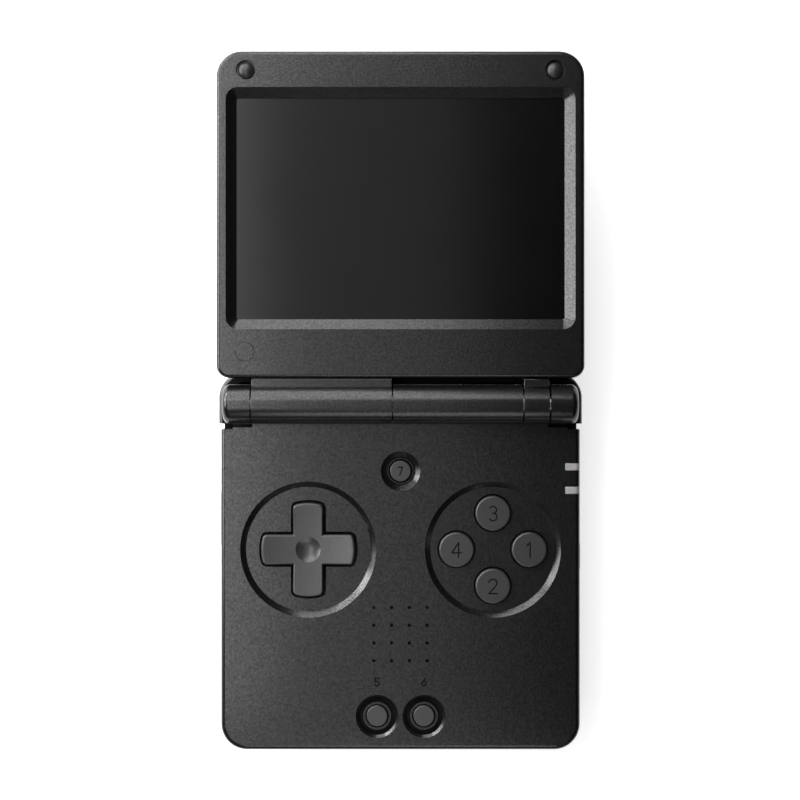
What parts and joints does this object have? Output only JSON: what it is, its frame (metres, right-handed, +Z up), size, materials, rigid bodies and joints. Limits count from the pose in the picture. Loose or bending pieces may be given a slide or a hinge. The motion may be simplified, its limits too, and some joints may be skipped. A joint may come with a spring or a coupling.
{
  "type": "clamshell handheld game console",
  "caption": "Palm-sized clamshell game console lying flat open: screen in a folding lid, friction hinge barrel, and a base with a d-pad, face buttons, shoulder buttons and ports.",
  "frame": {"origin": "under the hinge axis, in the middle of the width, at the height of the base's underside", "axes": "+X to the right, +Y from the hinge towards the open lid's far edge, +Z up out of the face"},
  "size_m": [0.0858, 0.163, 0.024],
  "materials": {
    "shell": "fine-grained matt charcoal plastic",
    "keys": "smoother matt charcoal plastic",
    "bumper_rubber": "satin rubber",
    "membrane_rubber": "silicone rubber",
    "lens": "polished, dark behind",
    "display": "gloss, switched off",
    "backlight": "white reflector",
    "light_pipe": "clear-grey translucent",
    "steel": "turned steel",
    "port_steel": "stamped steel",
    "screws": "blackened steel",
    "board": "solder mask",
    "switches": "flexible circuit with small switches",
    "shield": "stamped can",
    "battery": "foil pouch",
    "speaker": "black basket",
    "jack": "black moulding",
    "cable": "polyimide film"
  },
  "bodies": {
    "base": {"base_top_shell": "shell", "base_bottom_shell": "shell", "battery_door": "shell", "battery_pack": "battery", "main_board": "board", "processor_shield": "shield", "speaker": "speaker", "d_pad_membrane": "membrane_rubber", "face_button_membrane": "membrane_rubber", "start_select_membrane": "membrane_rubber", "menu_switch": "port_steel", "shoulder_switches_left": "switches", "shoulder_switches_right": "switches", "side_switches": "switches", "power_light_pipe": "light_pipe", "charge_light_pipe": "light_pipe", "usb_c_port": "port_steel", "headphone_jack": "jack", "card_slot": "port_steel", "case_screws": "screws", "hinge_cap_left": "shell", "hinge_cap_right": "shell", "hinge_pins": "steel", "hinge_cartridge": "steel", "hinge_spring": "steel", "hinge_follower": "steel", "display_cable_tail": "cable", "shoulder_pins": "steel"},
    "lid": {"lid_bezel": "shell", "lid_back_cover": "shell", "screen_lens": "lens", "display_panel": "display", "backlight_unit": "backlight", "lid_bumper_left": "bumper_rubber", "lid_bumper_right": "bumper_rubber", "lid_screw_plug": "shell", "lid_screws": "screws", "lid_magnet": "steel", "display_cable": "cable", "hinge_cam_shaft": "steel"},
    "d_pad": {"d_pad": "keys"},
    "d_pad_pivot": {"d_pad_pivot": "steel"},
    "face_button_right": {"face_button_right": "keys"},
    "face_button_bottom": {"face_button_bottom": "keys"},
    "face_button_top": {"face_button_top": "keys"},
    "face_button_left": {"face_button_left": "keys"},
    "menu_button": {"menu_button": "keys"},
    "select_button": {"select_button": "keys"},
    "start_button": {"start_button": "keys"},
    "shoulder_outer_left": {"shoulder_outer_left": "keys"},
    "shoulder_inner_left": {"shoulder_inner_left": "keys"},
    "shoulder_outer_right": {"shoulder_outer_right": "keys"},
    "shoulder_inner_right": {"shoulder_inner_right": "keys"},
    "power_button": {"power_button": "keys"},
    "volume_rocker": {"volume_rocker": "keys"}
  },
  "joints": [
    {"name": "lid_hinge", "type": "hinge", "parent": "base", "child": "lid", "pos_m": [0, 0, 0.0194], "axis": [1, 0, 0], "range_deg": [0, 180]},
    {"name": "d_pad_left_right", "type": "hinge", "parent": "base", "child": "d_pad_pivot", "pos_m": [-0.02165, -0.0341, 0.0123], "axis": [0, 1, 0], "range_deg": [-3.5, 3.5], "stiffness_Nm_per_rad": 0.1, "deforming": ["d_pad_membrane"]},
    {"name": "d_pad_up_down", "type": "hinge", "parent": "d_pad_pivot", "child": "d_pad", "pos_m": [-0.02165, -0.0341, 0.0123], "axis": [1, 0, 0], "range_deg": [-3.5, 3.5], "stiffness_Nm_per_rad": 0.1, "deforming": ["d_pad_membrane"]},
    {"name": "face_button_right_press", "type": "slide", "parent": "base", "child": "face_button_right", "axis": [0, 0, -1], "range_m": [0, 0.0008], "stiffness_N_per_m": 800, "deforming": ["face_button_membrane"]},
    {"name": "face_button_bottom_press", "type": "slide", "parent": "base", "child": "face_button_bottom", "axis": [0, 0, -1], "range_m": [0, 0.0008], "stiffness_N_per_m": 800, "deforming": ["face_button_membrane"]},
    {"name": "face_button_top_press", "type": "slide", "parent": "base", "child": "face_button_top", "axis": [0, 0, -1], "range_m": [0, 0.0008], "stiffness_N_per_m": 800, "deforming": ["face_button_membrane"]},
    {"name": "face_button_left_press", "type": "slide", "parent": "base", "child": "face_button_left", "axis": [0, 0, -1], "range_m": [0, 0.0008], "stiffness_N_per_m": 800, "deforming": ["face_button_membrane"]},
    {"name": "menu_button_press", "type": "slide", "parent": "base", "child": "menu_button", "axis": [0, 0, -1], "range_m": [0, 0.0006], "stiffness_N_per_m": 800},
    {"name": "select_button_press", "type": "slide", "parent": "base", "child": "select_button", "axis": [0, 0, -1], "range_m": [0, 0.0006], "stiffness_N_per_m": 800, "deforming": ["start_select_membrane"]},
    {"name": "start_button_press", "type": "slide", "parent": "base", "child": "start_button", "axis": [0, 0, -1], "range_m": [0, 0.0006], "stiffness_N_per_m": 800, "deforming": ["start_select_membrane"]},
    {"name": "shoulder_outer_right_press", "type": "hinge", "parent": "base", "child": "shoulder_outer_right", "pos_m": [0.0293, 0.0054, 0.009], "axis": [0, 0, -1], "range_deg": [0, 3], "stiffness_Nm_per_rad": 0.25},
    {"name": "shoulder_inner_right_press", "type": "hinge", "parent": "base", "child": "shoulder_inner_right", "pos_m": [0.016, 0.0054, 0.009], "axis": [0, 0, -1], "range_deg": [0, 3], "stiffness_Nm_per_rad": 0.25},
    {"name": "shoulder_outer_left_press", "type": "hinge", "parent": "base", "child": "shoulder_outer_left", "pos_m": [-0.0293, 0.0054, 0.009], "axis": [0, 0, 1], "range_deg": [0, 3], "stiffness_Nm_per_rad": 0.25},
    {"name": "shoulder_inner_left_press", "type": "hinge", "parent": "base", "child": "shoulder_inner_left", "pos_m": [-0.016, 0.0054, 0.009], "axis": [0, 0, 1], "range_deg": [0, 3], "stiffness_Nm_per_rad": 0.25},
    {"name": "power_button_press", "type": "slide", "parent": "base", "child": "power_button", "axis": [-1, 0, 0], "range_m": [0, 0.0003], "stiffness_N_per_m": 1500},
    {"name": "volume_rock", "type": "hinge", "parent": "base", "child": "volume_rocker", "pos_m": [-0.0395, -0.027, 0.0119], "axis": [0, 0, 1], "range_deg": [-2, 2], "stiffness_Nm_per_rad": 0.15}
  ]
}
